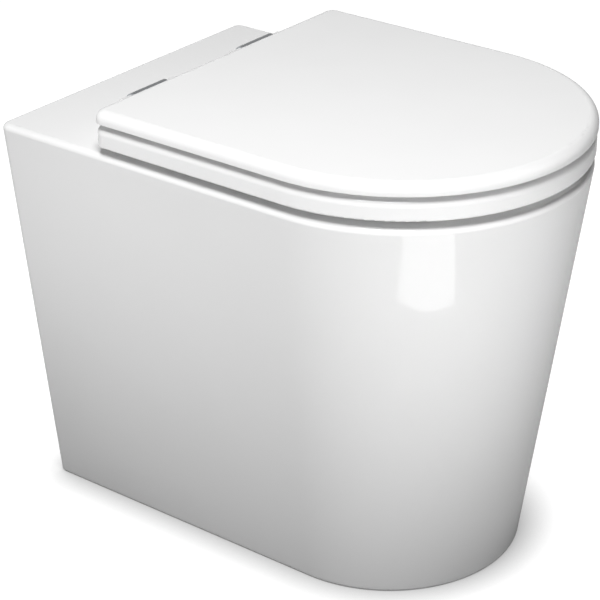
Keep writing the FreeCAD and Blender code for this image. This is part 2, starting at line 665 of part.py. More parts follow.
def hinge_fixing(side, x):
    """What clamps one hinge to the deck: gasket, steel rosette, stud, expanding sleeve and nut."""
    at = (x, HINGE_Y, "pan_height")
    gasket = new_node(f"hinge_gasket_{side}", *at)
    flat_plate(gasket, "gasket", "0", "gasket_thickness", "rosette_length / 2 - gasket_margin",
               "rosette_depth / 2 - gasket_margin")
    rosette = new_node(f"hinge_rosette_{side}", *at)
    flat_plate(rosette, "rosette", "gasket_thickness", "rosette_thickness", "rosette_length / 2",
               "rosette_depth / 2")
    stud = new_node(f"hinge_stud_{side}", *at)
    revolve(stud, "stud", [
        ("0", "pin_top"),
        ("pin_diameter / 2", "pin_top"),
        ("pin_diameter / 2", LATCH_TOP),
        ("neck_diameter / 2", LATCH_TOP),
        ("neck_diameter / 2", "latch_height"),
        ("pin_diameter / 2", "latch_height"),
        ("pin_diameter / 2", f"{PLATE_TOP} + collar_thickness"),
        ("collar_diameter / 2", f"{PLATE_TOP} + collar_thickness"),
        ("collar_diameter / 2", PLATE_TOP),
        ("stud_diameter / 2", PLATE_TOP),
        ("stud_diameter / 2", f"{PLATE_TOP} - stud_length"),
        ("0", f"{PLATE_TOP} - stud_length"),
    ])
    sleeve = new_node(f"hinge_sleeve_{side}", *at)
    revolve(sleeve, "sleeve", [
        (STUD_FIT, "-sleeve_clearance"),
        (SLEEVE_RADIUS, "-sleeve_clearance"),
        (SLEEVE_RADIUS, "-deck_thickness - sleeve_clearance"),
        (f"{SLEEVE_RADIUS} + sleeve_bulge", "-deck_thickness - sleeve_clearance - sleeve_taper"),
        (SLEEVE_RADIUS, "-sleeve_length"),
        (STUD_FIT, "-sleeve_length"),
    ])
    nut = new_node(f"hinge_nut_{side}", *at)
    revolve(nut, "nut", [
        ("stud_diameter / 2 + nut_clearance", "-sleeve_length - sleeve_clearance"),
        ("nut_diameter / 2", "-sleeve_length - sleeve_clearance"),
        ("nut_diameter / 2", "-sleeve_length - nut_height"),
        ("stud_diameter / 2 + nut_clearance", "-sleeve_length - nut_height"),
    ])


def hinge_block(side, x, turn):
    """A die-cast barrel on a pedestal that drops over the stud's pin. The latch slot runs along X."""
    block = new_node(f"hinge_block_{side}", x, HINGE_Y, "pan_height", turn)
    low = (f"-{PEDESTAL_END}", "-pedestal_depth / 2")
    high = (PEDESTAL_END, "pedestal_depth / 2")
    pedestal = rectangle(block, "pedestal_outline", "XY_Plane", PLATE_TOP, low, high)
    add(block, "Pad", "pedestal", pedestal, Length=f"axis_height - {PLATE_TOP}")
    fillet(block, "pedestal_corners", "pedestal_corner", upright)
    barrel = circles(block, "barrel_outline", "YZ_Plane", "-barrel_length / 2", "barrel_diameter / 2",
                     [("0", "axis_height")])
    add(block, "Pad", "barrel", barrel, Length="barrel_length")
    bore = circles(block, "bore_outline", "YZ_Plane", "barrel_length / 2", "barrel_bore / 2",
                   [("0", "axis_height")])
    add(block, "Pocket", "damper_bore", bore, Length="barrel_length")
    socket = circles(block, "socket_outline", "XY_Plane", PLATE_TOP, PIN_FIT, [("0", "0")])
    add(block, "Pocket", "pin_socket", socket, Length=f"pin_top + pin_clearance - {PLATE_TOP}", Reversed=True)
    seating = circles(block, "collar_outline", "XY_Plane", PLATE_TOP, "collar_diameter / 2 + pin_clearance",
                      [("0", "0")])
    add(block, "Pocket", "collar_seat", seating, Length="collar_thickness + pin_clearance", Reversed=True)
    side_fit = f"({LATCH_HALF} + latch_clearance)"
    slot = rectangle(block, "slot_outline", "XY_Plane", "latch_height", (f"-{SLOT_END}", f"-{side_fit}"),
                     (f"{PEDESTAL_END} + overrun", side_fit))
    add(block, "Pocket", "latch_slot", slot, Length="latch_thickness + 2 * latch_clearance", Reversed=True)
    window = rectangle(block, "window_outline", "XY_Plane",
                       f"{LATCH_MIDDLE} - button_height / 2 - latch_clearance",
                       (f"{BUTTON_BACK} - button_travel - button_stop", f"-{side_fit}"),
                       (f"{PEDESTAL_END} + overrun", side_fit))
    add(block, "Pocket", "button_window", window, Length="button_height + 2 * latch_clearance", Reversed=True)


def release_button(side, x, turn):
    """The push button, one piece with its latch plate, whose keyhole grips the neck of the pin."""
    button = new_node(f"release_button_{side}", x, HINGE_Y, "pan_height", turn)
    base = "(latch_height + latch_clearance)"
    plate = rectangle(button, "plate_outline", "XY_Plane", base, ("-latch_front", f"-{LATCH_HALF}"),
                      (f"{BUTTON_BACK} + button_length / 2", LATCH_HALF))
    add(button, "Pad", "latch_plate", plate, Length="latch_thickness")
    cap = rectangle(button, "cap_outline", "XY_Plane", f"{LATCH_MIDDLE} - button_height / 2",
                    (BUTTON_BACK, f"-{LATCH_HALF}"), (BUTTON_FACE, LATCH_HALF))
    add(button, "Pad", "cap", cap, Length="button_height")
    top = f"{base} + latch_thickness"
    neck = circles(button, "neck_outline", "XY_Plane", top, NECK_FIT, [("0", "0")])
    add(button, "Pocket", "neck_seat", neck, Length="latch_thickness")
    way = rectangle(button, "way_outline", "XY_Plane", top, ("0", f"-{NECK_FIT}"),
                    ("button_travel", NECK_FIT))
    add(button, "Pocket", "neck_way", way, Length="latch_thickness")
    wide = circles(button, "wide_outline", "XY_Plane", top, PIN_FIT, [("button_travel", "0")])
    add(button, "Pocket", "pin_way", wide, Length="latch_thickness")


def button_spring(side, x, turn):
    """The coil that pushes the button out, between the latch plate and the slot's blind end."""
    spring = new_node(f"button_spring_{side}", x, HINGE_Y, f"pan_height + {LATCH_MIDDLE}", turn)
    wire = circles(spring, "wire", "XZ_Plane", "0", "spring_wire / 2",
                   [("spring_diameter / 2 - spring_wire / 2", "spring_wire / 2")])
    coil = f"({SLOT_END} - latch_front - 2 * spring_clearance - spring_wire)"
    add(spring, "AdditiveHelix", "coil", wire, ReferenceAxis=(wire, ["V_Axis"]), Mode=0,
        Height=coil, Pitch=f"{coil} / spring_turns")


def damper(name, middle):
    """A sealed rotary damper with its square-ended shaft. The far end carries a plain stub."""
    at = (f"{middle} - barrel_length / 2", HINGE_Y, HINGE_Z, SIDEWAYS)
    journal = "(journal_diameter / 2)"
    cartridge = new_node(name, *at)
    revolve(cartridge, "cartridge", [
        (f"{journal} + journal_clearance", "0"),
        ("damper_diameter / 2", "0"),
        ("damper_diameter / 2", "barrel_length"),
        (journal, "barrel_length"),
        (journal, "barrel_length + lug_gap + lug_width - stub_recess"),
        ("0", "barrel_length + lug_gap + lug_width - stub_recess"),
        ("0", "journal_depth"),
        (f"{journal} + journal_clearance", "journal_depth"),
    ])
    shaft = new_node(f"{name}_shaft", *at)
    revolve(shaft, "journal", [
        ("0", "-lug_gap / 2"),
        (journal, "-lug_gap / 2"),
        (journal, "journal_depth - lug_gap"),
        ("0", "journal_depth - lug_gap"),
    ])
    half = "key_size / 2"
    key = rectangle(shaft, "key_outline", "XY_Plane", "-lug_gap / 2", (f"-{half}", f"-{half}"), (half, half))
    add(shaft, "Pad", "key", key, Length="lug_gap / 2 + lug_width - stub_recess", Reversed=True)


# Hinges: two alike, on expanding fixings in the deck. The left one damps the lid, the right one
# the seat. The right block, button and spring are the left ones turned half round.
LEFT = "-hinge_spacing / 2"
RIGHT = "hinge_spacing / 2"
SPRING_REACH = f"({SLOT_END} - spring_clearance)"
for side, x in (("left", LEFT), ("right", RIGHT)):
    hinge_fixing(side, x)
    hinge_block(side, x, None if side == "left" else HALF_TURN)
    release_button(side, x, None if side == "left" else HALF_TURN)
button_spring("left", f"{LEFT} - {SPRING_REACH}", SIDEWAYS)
button_spring("right", f"{RIGHT} + {SPRING_REACH}", SIDEWAYS.inverted())
damper("lid_damper", LEFT)
damper("seat_damper", RIGHT)

doc.recompute()
for item in doc.Objects:
    if {"Invalid", "Error"} & set(item.State):
        raise RuntimeError(f"{item.Label}: {item.State}")
for body in nodes:
    shape = body.Shape
    if shape.isNull() or not shape.isValid():
        raise RuntimeError(f"{body.Label}: the shape is not valid")
    shape.exportStep(f"parts/{body.Label}.step")
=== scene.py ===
import math

import bmesh
import bpy
from mathutils import Matrix, Vector


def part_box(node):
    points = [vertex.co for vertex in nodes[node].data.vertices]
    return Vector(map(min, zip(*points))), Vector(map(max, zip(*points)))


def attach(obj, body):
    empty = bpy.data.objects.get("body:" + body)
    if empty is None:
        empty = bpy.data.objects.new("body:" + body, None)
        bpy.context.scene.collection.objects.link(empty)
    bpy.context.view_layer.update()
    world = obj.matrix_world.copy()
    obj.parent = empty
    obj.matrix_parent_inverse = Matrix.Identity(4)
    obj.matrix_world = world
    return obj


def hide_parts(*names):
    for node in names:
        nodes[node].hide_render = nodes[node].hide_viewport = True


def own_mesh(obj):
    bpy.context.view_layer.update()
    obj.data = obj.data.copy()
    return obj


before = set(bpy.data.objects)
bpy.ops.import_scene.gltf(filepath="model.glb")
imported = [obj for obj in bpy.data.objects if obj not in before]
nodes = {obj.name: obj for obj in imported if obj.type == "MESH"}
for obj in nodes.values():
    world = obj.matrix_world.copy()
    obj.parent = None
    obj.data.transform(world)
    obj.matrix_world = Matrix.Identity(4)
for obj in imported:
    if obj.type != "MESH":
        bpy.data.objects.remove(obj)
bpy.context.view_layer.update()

# Pan
# One casting of vitreous china: skirt, deck, collar and bowl, stuck together with slip and fired as
# one. The glaze covers the outside, the deck and the bowl. The foot and the hollow behind stay raw.
MM = 0.001
scene = bpy.context.scene


def put(tree, kind, inputs=None, **settings):
    """Adds a node. Settings are its own properties, inputs are its sockets: values or links."""
    new = tree.nodes.new(kind)
    for name, value in settings.items():
        setattr(new, name, value)
    for socket, value in (inputs or {}).items():
        if isinstance(value, bpy.types.NodeSocket):
            tree.links.new(value, new.inputs[socket])
        else:
            new.inputs[socket].default_value = value
    return new


def linear(code):
    """An sRGB hex colour as linear red, green, blue and alpha."""
    parts = [int(code[i:i + 2], 16) / 255 for i in (1, 3, 5)]
    return [c / 12.92 if c <= 0.04045 else ((c + 0.055) / 1.055) ** 2.4 for c in parts] + [1]


def new_material(name):
    """An empty material and its node tree."""
    material = bpy.data.materials.new(name)
    material.use_nodes = True
    material.node_tree.nodes.clear()
    return material, material.node_tree


def new_object(name, data):
    """An object in the scene, at the origin."""
    piece = bpy.data.objects.new(name, data)
    scene.collection.objects.link(piece)
    return piece


def mottled(tree, size, dark, light, **noise):
    """A colour that wanders between two in patches of a size, and the patches."""
    space = put(tree, "ShaderNodeTexCoord").outputs["Object"]
    patches = put(tree, "ShaderNodeTexNoise", {"Vector": space, "Scale": 1 / size, **noise})
    patches = patches.outputs["Fac"]
    tone = put(tree, "ShaderNodeMix", {0: patches, 6: linear(dark), 7: linear(light)}, data_type="RGBA")
    return tone.outputs[2], patches


def grained(tree, size, depth, strength, detail=1.0, **below):
    """A relief with grains of a size and a depth, as a normal, over another relief if one is given."""
    space = put(tree, "ShaderNodeTexCoord").outputs["Object"]
    grain = put(tree, "ShaderNodeTexNoise", {"Vector": space, "Scale": 1 / size, "Detail": detail})
    relief = put(tree, "ShaderNodeBump", {
        "Strength": strength, "Distance": depth, "Height": grain.outputs["Fac"], **below})
    return relief.outputs["Normal"]


# Glazed vitreous china: a glass skin some 0.6 mm thick, fired onto a white body. The eye gets sharp
# reflections that wander a little where the glaze ran, and a white that is nearly even.
GLAZE_IOR = 1.52
glaze_wave = 45 * MM
glaze_swell = 1 * MM
glaze_ripple = 0.06
glazed_china, tree = new_material("vitreous_china_white_glaze")
tone, pool = mottled(tree, 120 * MM, "#efefef", "#f2f2f2", Detail=2.0)
shine = put(tree, "ShaderNodeMapRange", {"Value": pool, "To Min": 0.015, "To Max": 0.03})
skin = put(tree, "ShaderNodeBsdfPrincipled", {
    "Base Color": tone, "Roughness": shine.outputs["Result"], "IOR": GLAZE_IOR,
    "Normal": grained(tree, glaze_wave, glaze_swell, glaze_ripple)})
put(tree, "ShaderNodeOutputMaterial", {"Surface": skin.outputs["BSDF"]})

# Raw vitreous china: fired but left without glaze. It looks chalky, a little warmer than the glaze,
# with sponge marks some 9 mm across and a grain like fine sandpaper, drawn coarse to show.
raw_china, tree = new_material("vitreous_china_fired_raw")
tone, _ = mottled(tree, 9 * MM, "#d9d3c6", "#ece7dc", Detail=3.0)
chalk = put(tree, "ShaderNodeBsdfPrincipled", {
    "Base Color": tone, "Roughness": 0.85, "IOR": 1.5,
    "Normal": grained(tree, 0.8 * MM, 0.3 * MM, 0.35, detail=2.0)})
put(tree, "ShaderNodeOutputMaterial", {"Surface": chalk.outputs["BSDF"]})

# A tree that lofts through level outlines, each a D: half-round front, straight sides, square back
# with round corners. Every vertex that comes in is one outline: x is its inset at the sides, y at the
# back, z its drop below the top, with its front inset, corner radius and lack of glaze as attributes.
d_loft = bpy.data.node_groups.new("d_shaped_loft", "GeometryNodeTree")
SIZES = ("Half Width", "Front", "Back", "Top")
STEPS = ("Front Steps", "Corner Steps")
FINISHES = ("Finish", "Raw Finish")
OUTLINE_ATTRIBUTES = {"front_inset": "FLOAT", "corner": "FLOAT", "raw": "BOOLEAN"}
WELD_DISTANCE = 0.005 * MM
d_loft.interface.new_socket("Outlines", in_out="INPUT", socket_type="NodeSocketGeometry")
for kind, names in (("Float", SIZES), ("Int", STEPS), ("Material", FINISHES)):
    for name in names:
        d_loft.interface.new_socket(name, in_out="INPUT", socket_type="NodeSocket" + kind)
d_loft.interface.new_socket("Loft", in_out="OUTPUT", socket_type="NodeSocketGeometry")
given = put(d_loft, "NodeGroupInput").outputs
corner_steps, front_steps = given["Corner Steps"], given["Front Steps"]

# How many points there are round an outline, and which ring and point each grid vertex is. The last
# point lies on the first one and closes the ring.
steps = put(d_loft, "ShaderNodeMath", {0: corner_steps, 1: 2, 2: front_steps}, operation="MULTIPLY_ADD")
last = put(d_loft, "ShaderNodeMath", {0: steps.outputs[0], 1: 3}, operation="ADD").outputs[0]
points = put(d_loft, "ShaderNodeMath", {0: last, 1: 1}, operation="ADD").outputs[0]
rings = put(d_loft, "GeometryNodeAttributeDomainSize", {"Geometry": given["Outlines"]})
grid = put(d_loft, "GeometryNodeMeshGrid", {
    "Vertices X": rings.outputs["Point Count"], "Vertices Y": points})
index = put(d_loft, "GeometryNodeInputIndex").outputs[0]
share = put(d_loft, "ShaderNodeMath", {0: index, 1: points}, operation="DIVIDE").outputs[0]
ring = put(d_loft, "ShaderNodeMath", {0: share}, operation="FLOOR").outputs[0]
point = put(d_loft, "ShaderNodeMath", {0: index, 1: points}, operation="MODULO").outputs[0]
point = put(d_loft, "ShaderNodeMath", {0: point, 1: last}, operation="MODULO").outputs[0]

# The angle runs through the left corner, the round front and the right corner, one after another.
front_first = put(d_loft, "ShaderNodeMath", {0: corner_steps, 1: 1}, operation="ADD").outputs[0]
front_last = put(d_loft, "ShaderNodeMath", {0: front_first, 1: front_steps}, operation="ADD").outputs[0]
right_first = put(d_loft, "ShaderNodeMath", {0: front_last, 1: 1}, operation="ADD").outputs[0]
right_last = put(d_loft, "ShaderNodeMath", {0: last, 1: 1}, operation="SUBTRACT").outputs[0]
left_turn = put(d_loft, "ShaderNodeMapRange", {
    "Value": point, "From Max": corner_steps, "To Min": math.pi / 2, "To Max": math.pi})
front_turn = put(d_loft, "ShaderNodeMapRange", {
    "Value": point, "From Min": front_first, "From Max": front_last, "To Max": math.pi})
right_turn = put(d_loft, "ShaderNodeMapRange", {
    "Value": point, "From Min": right_first, "From Max": right_last, "To Max": math.pi / 2})
angle = put(d_loft, "ShaderNodeMath", {
    0: left_turn.outputs[0], 1: front_turn.outputs[0]}, operation="ADD")
angle = put(d_loft, "ShaderNodeMath", {
    0: angle.outputs[0], 1: right_turn.outputs[0]}, operation="ADD").outputs[0]
on_left = put(d_loft, "ShaderNodeMath", {0: point, 1: front_first}, operation="LESS_THAN")
on_right = put(d_loft, "ShaderNodeMath", {0: point, 1: front_last}, operation="GREATER_THAN")
hand = put(d_loft, "ShaderNodeMath", {
    0: on_right.outputs[0], 1: on_left.outputs[0]}, operation="SUBTRACT").outputs[0]
at_corner = put(d_loft, "ShaderNodeMath", {0: hand}, operation="ABSOLUTE").outputs[0]

# What the ring's own outline measures, read from the vertex that stands for it.
spot = put(d_loft, "GeometryNodeInputPosition").outputs[0]
inset = put(d_loft, "GeometryNodeSampleIndex", {
    "Geometry": given["Outlines"], "Value": spot, "Index": ring}, data_type="FLOAT_VECTOR")
inset = put(d_loft, "ShaderNodeSeparateXYZ", {0: inset.outputs[0]}).outputs
measures = {}
for name, kind in OUTLINE_ATTRIBUTES.items():
    stored = put(d_loft, "GeometryNodeInputNamedAttribute", {"Name": name}, data_type=kind)
    sample = put(d_loft, "GeometryNodeSampleIndex", {
        "Geometry": given["Outlines"], "Value": stored.outputs[0], "Index": ring}, data_type=kind)
    measures[name] = sample.outputs[0]
corner = measures["corner"]

# Each point stands on an arc about the middle of its corner, or of the round front.
half = put(d_loft, "ShaderNodeMath", {
    0: given["Half Width"], 1: inset["X"]}, operation="SUBTRACT").outputs[0]
front = put(d_loft, "ShaderNodeMath", {
    0: given["Front"], 1: measures["front_inset"]}, operation="ADD").outputs[0]
front = put(d_loft, "ShaderNodeMath", {0: front, 1: half}, operation="ADD").outputs[0]
back = put(d_loft, "ShaderNodeMath", {0: given["Back"], 1: inset["Y"]}, operation="SUBTRACT").outputs[0]
back = put(d_loft, "ShaderNodeMath", {0: back, 1: corner}, operation="SUBTRACT").outputs[0]
height = put(d_loft, "ShaderNodeMath", {0: given["Top"], 1: inset["Z"]}, operation="SUBTRACT").outputs[0]
aside = put(d_loft, "ShaderNodeMath", {0: half, 1: corner}, operation="SUBTRACT").outputs[0]
aside = put(d_loft, "ShaderNodeMath", {0: aside, 1: hand}, operation="MULTIPLY").outputs[0]
along = put(d_loft, "ShaderNodeMix", {0: at_corner, 2: front, 3: back}).outputs[0]
radius = put(d_loft, "ShaderNodeMix", {0: at_corner, 2: half, 3: corner}).outputs[0]
middle = put(d_loft, "ShaderNodeCombineXYZ", {0: aside, 1: along, 2: height}).outputs[0]
across = put(d_loft, "ShaderNodeMath", {0: angle}, operation="COSINE").outputs[0]
ahead = put(d_loft, "ShaderNodeMath", {0: angle}, operation="SINE").outputs[0]
arm = put(d_loft, "ShaderNodeCombineXYZ", {0: across, 1: ahead}).outputs[0]
arm = put(d_loft, "ShaderNodeVectorMath", {0: arm, "Scale": radius}, operation="SCALE").outputs[0]
spot = put(d_loft, "ShaderNodeVectorMath", {0: middle, 1: arm}, operation="ADD").outputs[0]
loft = put(d_loft, "GeometryNodeSetPosition", {"Geometry": grid.outputs["Mesh"], "Position": spot})
loft = put(d_loft, "GeometryNodeStoreNamedAttribute", {
    "Geometry": loft.outputs[0], "Name": "raw", "Value": measures["raw"]},
    data_type="BOOLEAN", domain="POINT")
loft = put(d_loft, "GeometryNodeMergeByDistance", {
    "Geometry": loft.outputs[0], "Distance": WELD_DISTANCE})
loft = put(d_loft, "GeometryNodeRealizeInstances", {"Geometry": loft.outputs[0]})
loft = put(d_loft, "GeometryNodeSetMaterial", {"Geometry": loft.outputs[0], "Material": given["Finish"]})
unglazed = put(d_loft, "GeometryNodeInputNamedAttribute", {"Name": "raw"}, data_type="BOOLEAN")
loft = put(d_loft, "GeometryNodeSetMaterial", {
    "Geometry": loft.outputs[0], "Selection": unglazed.outputs[0], "Material": given["Raw Finish"]})
put(d_loft, "NodeGroupOutput", {"Loft": loft.outputs[0]})


def shape(piece, tree, inputs):
    """Lets a Geometry Nodes tree make a piece, with the tree's inputs set by their identifiers."""
    modifier = piece.modifiers.new(tree.name, "NODES")
    modifier.node_group = tree
    for item in tree.interface.items_tree:
        if item.name in inputs:
            modifier[item.identifier] = inputs[item.name]
    return piece


def lofted(name, outlines, inputs):
    """A piece lofted through outlines, each a (drop, side, front, back, corner, raw) row."""
    drops, sides, fronts, backs, corners, raws = zip(*outlines)
    mesh = bpy.data.meshes.new(name)
    mesh.from_pydata(list(zip(sides, backs, drops)), [], [])
    for (attribute, kind), values in zip(OUTLINE_ATTRIBUTES.items(), (fronts, corners, raws)):
        mesh.attributes.new(attribute, kind, "POINT").data.foreach_set("value", values)
    return shape(new_object(name, mesh), d_loft, inputs)


SHARP_ANGLE = math.radians(32)


def settle(piece):
    """Makes a piece's modifiers its plain mesh, smooth but for its sharp edges."""
    evaluated = piece.evaluated_get(bpy.context.evaluated_depsgraph_get())
    mesh = bpy.data.meshes.new_from_object(evaluated)
    if mesh.materials[0] is None:
        mesh.materials.pop(index=0)
    piece.modifiers.clear()
    piece.data = mesh
    work = bmesh.new()
    work.from_mesh(mesh)
    bmesh.ops.recalc_face_normals(work, faces=work.faces)
    work.to_mesh(mesh)
    work.free()
    mesh.shade_smooth()
    mesh.set_sharp_from_angle(angle=SHARP_ANGLE)
    piece.modifiers.new("even_normals", "WEIGHTED_NORMAL").keep_sharp = True
    return piece


deck_low, deck_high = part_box("pan_deck")
pan_half, pan_front, pan_back, pan_top = deck_high.x, deck_low.y, deck_high.y, deck_high.z
pan_length = pan_back - pan_front
deck_thickness = pan_top - deck_low.z
rim_inset = 2 * MM
rim_band = 6 * MM
edge_radius = 5.5 * MM
corner_radius = 10 * MM
skirt_wall = 11 * MM
back_wall = 13 * MM
foot_round = 3 * MM
bowl_wall = 10 * MM
mouth_round = 6 * MM
ledge_width = 9 * MM
ledge_drop = 76 * MM
ledge_round = 4 * MM
ledge_hollow = 3 * MM
sump_drop = 346 * MM
sump_round = 8 * MM
sump_half_length = 42.5 * MM
# How far in from the deck's outline these lie: at the sides, the front and, but for the foot, the back.
foot_insets = (48.5 * MM, 60 * MM)
mouth_insets = (42 * MM, 45 * MM, 152 * MM)
sump_insets = (138 * MM, 149 * MM, 290 * MM)
# How far the bowl's wall has gone from the sump to the ledge: in height, side, front and back.
BOWL_SHARES = ((0, 0, 0, 0), (0.37, 0.38, 0.31, 0.11), (0.58, 0.67, 0.62, 0.33), (1, 1, 1, 1))
CORNER_SHARE = 0.79
WALL_STEPS = 24
# Sines and cosines of the steps over a rounded edge.
ROUND_STEPS = 8
ROUND_ANGLES = [math.pi / 2 * step / ROUND_STEPS for step in range(ROUND_STEPS + 1)]
QUARTER_TURN = [(math.sin(turn), math.cos(turn)) for turn in ROUND_ANGLES]


def grown(insets, margin):
    """The insets of an outline that lies a margin further out."""
    return [inset - margin for inset in insets]


def rim_row(drop, insets, corner=corner_radius, raw=False):
    """An outline of the deck's edge, the skirt or the hollow, with tight rear corners."""
    return (drop, *insets, corner, raw)


def bowl_row(drop, insets, raw=False):
    """An outline of the bowl or its collar, with wide rear corners that keep within its length."""
    half = pan_half - insets[0]
    room = pan_length - insets[1] - insets[2] - half
    return (drop, *insets, CORNER_SHARE * min(half, room), raw)


def bowl_wall_row(share, floor, wall=0.0, raw=False):
    """The bowl's inside, or its outside a wall away, at a share of the height from floor to ledge."""
    ledge_insets = grown(mouth_insets, -ledge_width)
    insets = []
    for column, (low, high) in enumerate(zip(sump_insets, ledge_insets), 1):
        gone = 0
        for here in BOWL_SHARES:
            others = [other[0] for other in BOWL_SHARES if other is not here]
            gone += here[column] * math.prod((share - other) / (here[0] - other) for other in others)
        insets.append(low + (high - low) * gone - wall)
    return bowl_row(floor + (ledge_drop - floor) * share, insets, raw)


def skirt_insets(drop, wall=0.0, back=0.0):
    """The tapered skirt at a drop below the deck: its outside, or its inside a wall away."""
    share = (drop - rim_band) / (pan_top - rim_band)
    side, front = [rim_inset + (foot - rim_inset) * share + wall for foot in foot_insets]
    return (side, front, back)


def middle_row(drop, raw=False):
    """The point in the middle of the sump's floor, which closes the loft."""
    insets = (pan_half, sump_insets[1] + sump_half_length, sump_insets[2] + sump_half_length)
    return (drop, *insets, 0.0, raw)


# From the sump's floor up the bowl to the ledge, the collar and the mouth.
ledge_insets = grown(mouth_insets, -ledge_width)
outlines = [middle_row(sump_drop)]
for sine, cosine in QUARTER_TURN:
    row = bowl_wall_row(sump_round * (1 - cosine) / (sump_drop - ledge_drop), sump_drop)
    outlines.append(bowl_row(row[0], grown(row[1:4], -sump_round * (1 - sine))))
first_share = sump_round / (sump_drop - ledge_drop)
last_share = 1 - 2 * ledge_round / (sump_drop - ledge_drop)
for step in range(1, WALL_STEPS + 1):
    share = first_share + (last_share - first_share) * step / WALL_STEPS
    outlines.append(bowl_wall_row(share, sump_drop))
for sine, cosine in QUARTER_TURN:
    outlines.append(bowl_row(ledge_drop + ledge_round * (1 - sine),
                             grown(ledge_insets, ledge_round * (1 - cosine))))
for sine, cosine in QUARTER_TURN:
    outlines.append(bowl_row(ledge_drop - ledge_hollow * (1 - cosine),
                             grown(mouth_insets, -ledge_hollow * (1 - sine))))
for sine, cosine in QUARTER_TURN:
    outlines.append(bowl_row(mouth_round * (1 - sine), grown(mouth_insets, mouth_round * (1 - cosine))))
# Over the deck and its rounded edge, down the skirt to the foot, and up inside to the deck again.
for sine, cosine in QUARTER_TURN:
    inset = edge_radius * (1 - sine)
    outlines.append(rim_row(edge_radius * (1 - cosine), (rim_inset + inset, rim_inset + inset, inset),
                            corner_radius - inset))
outlines.append(rim_row(rim_band, skirt_insets(rim_band)))
foot_top = pan_top - foot_round
for sine, cosine in QUARTER_TURN:
    side, front, back = skirt_insets(foot_top)
    inset = foot_round * (1 - cosine)
    outlines.append(rim_row(foot_top + foot_round * sine, (side + inset, front + inset, back),
                            raw=sine == 1))
outlines.append(rim_row(pan_top, skirt_insets(pan_top, skirt_wall, back_wall), raw=True))
outlines.append(rim_row(deck_thickness, skirt_insets(deck_thickness, skirt_wall, back_wall), raw=True))
# From the deck's underside down the outside of the collar and the bowl to its floor.
shell_floor = sump_drop + bowl_wall
shell_top = 1 - bowl_wall / (shell_floor - ledge_drop)
outlines.append(bowl_row(deck_thickness, grown(mouth_insets, bowl_wall), raw=True))
outlines.append(bowl_row(ledge_drop + bowl_wall, grown(mouth_insets, bowl_wall), raw=True))
for step in range(WALL_STEPS + 1):
    outlines.append(bowl_wall_row(shell_top * (1 - step / WALL_STEPS), shell_floor, bowl_wall, raw=True))
outlines.append(middle_row(shell_floor, raw=True))

pan_sizes = {"Half Width": pan_half, "Front": pan_front, "Back": pan_back, "Top": pan_top,
             "Front Steps": 96, "Corner Steps": 16, "Finish": glazed_china, "Raw Finish": raw_china}
pan = lofted("pan_casting", outlines, pan_sizes)

# The openings are cut in the clay before firing: the back of the skirt, the trap's mouth in the sump,
# the flush inlet in the collar, and two holes for the hinges in the deck.
back_flange = 30 * MM
opening_lip = 4 * MM
opening_round = 14 * MM
trap_radius = 37.7 * MM
trap_bend = 55 * MM
trap_climb = math.radians(60)
trap_start = -70.5 * MM
trap_turn = -20.3 * MM
trap_tail = 20 * MM
dip_drop = 308 * MM
inlet_radius = 21 * MM
inlet_drop = 56 * MM
hinge_hole_radius = 7.5 * MM
hinge_x, hinge_y = 80.5 * MM, 156 * MM
overrun = 12 * MM
HOLE_SIDES = 64
BEND_STEPS = 12


def opening(name, work, finish):
    """An object that cuts an opening, with the finish that the cut faces get."""
    mesh = bpy.data.meshes.new(name)
    bmesh.ops.recalc_face_normals(work, faces=work.faces)
    work.to_mesh(mesh)
    work.free()
    mesh.materials.append(finish)
    cutter = new_object(name, mesh)
    cut = pan.modifiers.new(name, "BOOLEAN")
    cut.operation = "DIFFERENCE"
    cut.solver = "EXACT"
    cut.object = cutter
    return cutter


def drill(radius, start, end):
    """A straight round hole between two points."""
    work = bmesh.new()
    start, end = Vector(start), Vector(end)
    turn = (end - start).to_track_quat("Z", "Y").to_matrix().to_4x4()
    bmesh.ops.create_cone(work, cap_ends=True, segments=HOLE_SIDES, radius1=radius, radius2=radius,
                          depth=(end - start).length, matrix=Matrix.Translation((start + end) / 2) @ turn)
    return work


work = bmesh.new()
section = []
for drop in (pan_top + overrun, deck_thickness + opening_lip):
    half = pan_half - skirt_insets(drop)[0] - back_flange
    section.append((half, pan_top - drop))
(low_half, low_z), (high_half, high_z) = section
corners = [(-low_half, low_z), (low_half, low_z), (high_half, high_z), (-high_half, high_z)]
inside, outside = pan_back - back_wall - overrun, pan_back + overrun
near = [work.verts.new((x, inside, z)) for x, z in corners]
far = [work.verts.new((x, outside, z)) for x, z in corners]
work.faces.new(near)
work.faces.new(far[::-1])
for i in range(4):
    work.faces.new((near[i], far[i], far[(i + 1) % 4], near[(i + 1) % 4]))
upper = [work.edges.get((near[i], far[i])) for i in (2, 3)]
bmesh.ops.bevel(work, geom=upper, offset=opening_round, segments=8, profile=0.5, affect="EDGES")
cutters = [opening("skirt_opening", work, raw_china)]

line = bpy.data.curves.new("trap_line", "CURVE")
line.dimensions = "3D"
line.bevel_depth = trap_radius
line.bevel_resolution = 14
line.use_fill_caps = True
dip = pan_top - dip_drop
route = [(trap_start, dip)]
for step in range(BEND_STEPS + 1):
    turn = trap_climb * step / BEND_STEPS
    route.append((trap_turn + trap_bend * math.sin(turn), dip + trap_bend * (1 - math.cos(turn))))
bend_y, bend_z = route[-1]
route.append((bend_y + trap_tail * math.cos(trap_climb), bend_z + trap_tail * math.sin(trap_climb)))
spline = line.splines.new("POLY")
spline.points.add(len(route) - 1)
for spline_point, (y, z) in zip(spline.points, route):
    spline_point.co = (0, y, z, 1)
tube = new_object("trap_tube", line)
tube_mesh = bpy.data.meshes.new_from_object(tube.evaluated_get(bpy.context.evaluated_depsgraph_get()))
bpy.data.objects.remove(tube)
work = bmesh.new()
work.from_mesh(tube_mesh)
